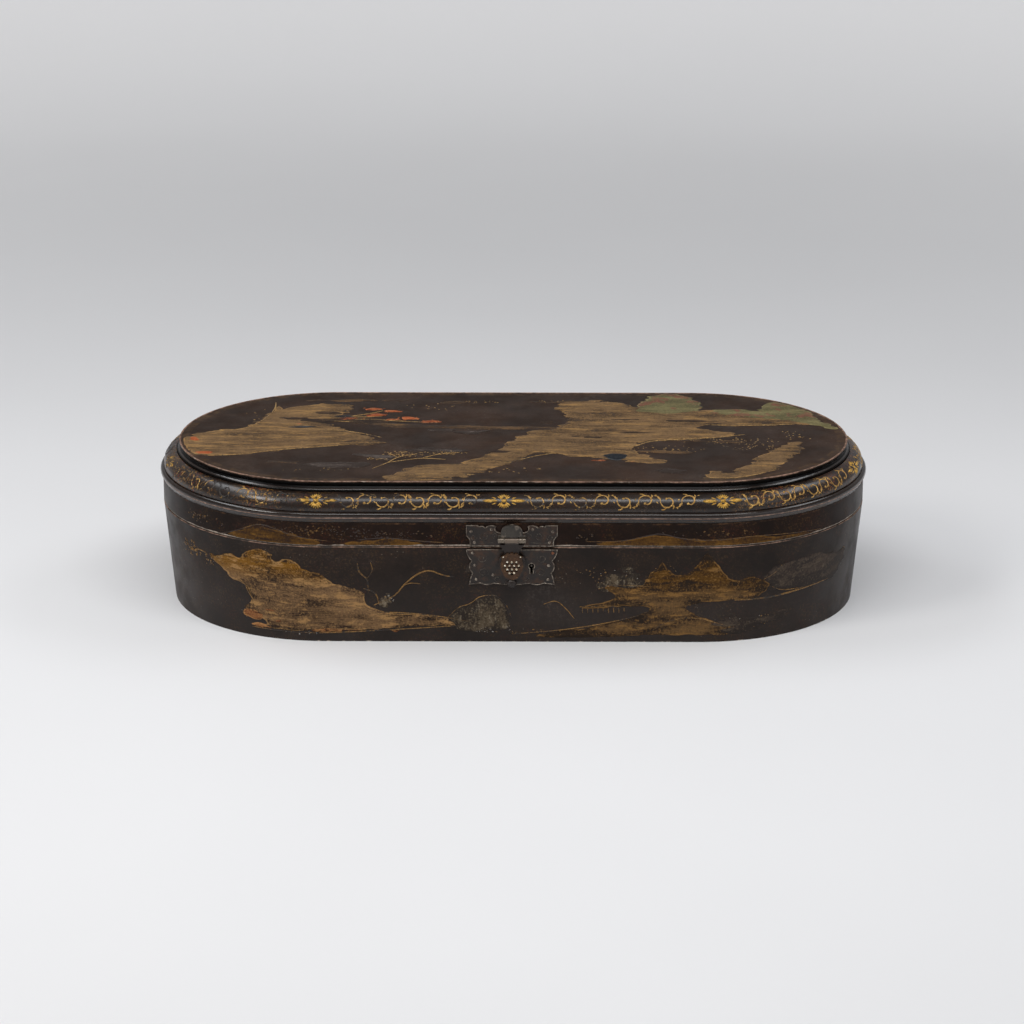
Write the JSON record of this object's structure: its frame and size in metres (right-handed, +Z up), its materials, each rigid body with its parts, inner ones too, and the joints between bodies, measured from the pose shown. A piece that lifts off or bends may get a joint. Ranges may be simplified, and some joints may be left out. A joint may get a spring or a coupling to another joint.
{
  "type": "japanese writing box",
  "caption": "Lacquered box with rounded ends, a moulded lid on back hinges, a front hasp lock, and an inkstone, dropper, trays, brushes and ink stick inside.",
  "frame": {"origin": "middle of the underside of the base", "axes": "+X along the box to the right as seen from the lock side, +Y to the back where the hinges are, +Z up"},
  "size_m": [0.56, 0.28, 0.1274],
  "materials": {
    "outer_lacquer": "aged brown-black lacquer over wood with worn gold and silver painting",
    "inner_lacquer": "black lacquer over wood, sprinkled with fine gold",
    "patinated_iron": "dark patinated iron sheet with worn bright edges",
    "lock_iron": "plain forged iron",
    "gilt_shield": "pierced gilt metal, worn",
    "slate": "honed dark slate",
    "bronze": "brown patinated bronze",
    "ink_cake": "pressed soot ink, satin",
    "bamboo": "polished bamboo",
    "brush_hair": "animal hair tuft"
  },
  "bodies": {
    "base": {"base_board": "inner_lacquer", "base_lip": "inner_lacquer", "base_wall": "outer_lacquer", "bolt_guides": "lock_iron", "bolt_spring": "lock_iron", "brush_hair_large": "brush_hair", "brush_hair_small": "brush_hair", "brush_handle_large": "bamboo", "brush_handle_small": "bamboo", "hinge_base_leaf_left": "patinated_iron", "hinge_base_leaf_right": "patinated_iron", "hinge_pin_left": "patinated_iron", "hinge_pin_right": "patinated_iron", "ink_stick": "ink_cake", "inkstone": "slate", "inkstone_board": "inner_lacquer", "key_pin": "lock_iron", "lock_case": "lock_iron", "lock_plate": "patinated_iron", "partition_left": "inner_lacquer", "partition_right": "inner_lacquer", "tray_left": "inner_lacquer", "tray_right": "inner_lacquer", "water_dropper": "bronze"},
    "lid": {"hasp_hinge_pin": "patinated_iron", "hasp_mount": "patinated_iron", "hasp_plate": "patinated_iron", "hinge_lid_leaf_left": "patinated_iron", "hinge_lid_leaf_right": "patinated_iron", "lid_bead": "outer_lacquer", "lid_ovolo": "outer_lacquer", "lid_top_board": "outer_lacquer", "lid_wall": "outer_lacquer"},
    "hasp": {"hasp_strap": "patinated_iron", "hasp_shield": "gilt_shield", "hasp_boss": "patinated_iron", "hasp_staple": "patinated_iron"},
    "bolt": {"lock_bolt": "lock_iron"}
  },
  "joints": [
    {"name": "lid_hinge", "type": "hinge", "parent": "base", "child": "lid", "pos_m": [0, 0.1375, 0.0795], "axis": [-1, 0, 0], "range_deg": [0, 105]},
    {"name": "hasp_hinge", "type": "hinge", "parent": "lid", "child": "hasp", "pos_m": [0, -0.1379, 0.0855], "axis": [-1, 0, 0], "range_deg": [0, 140]},
    {"name": "bolt_slide", "type": "slide", "parent": "base", "child": "bolt", "axis": [-1, 0, 0], "range_m": [0, 0.007]}
  ]
}
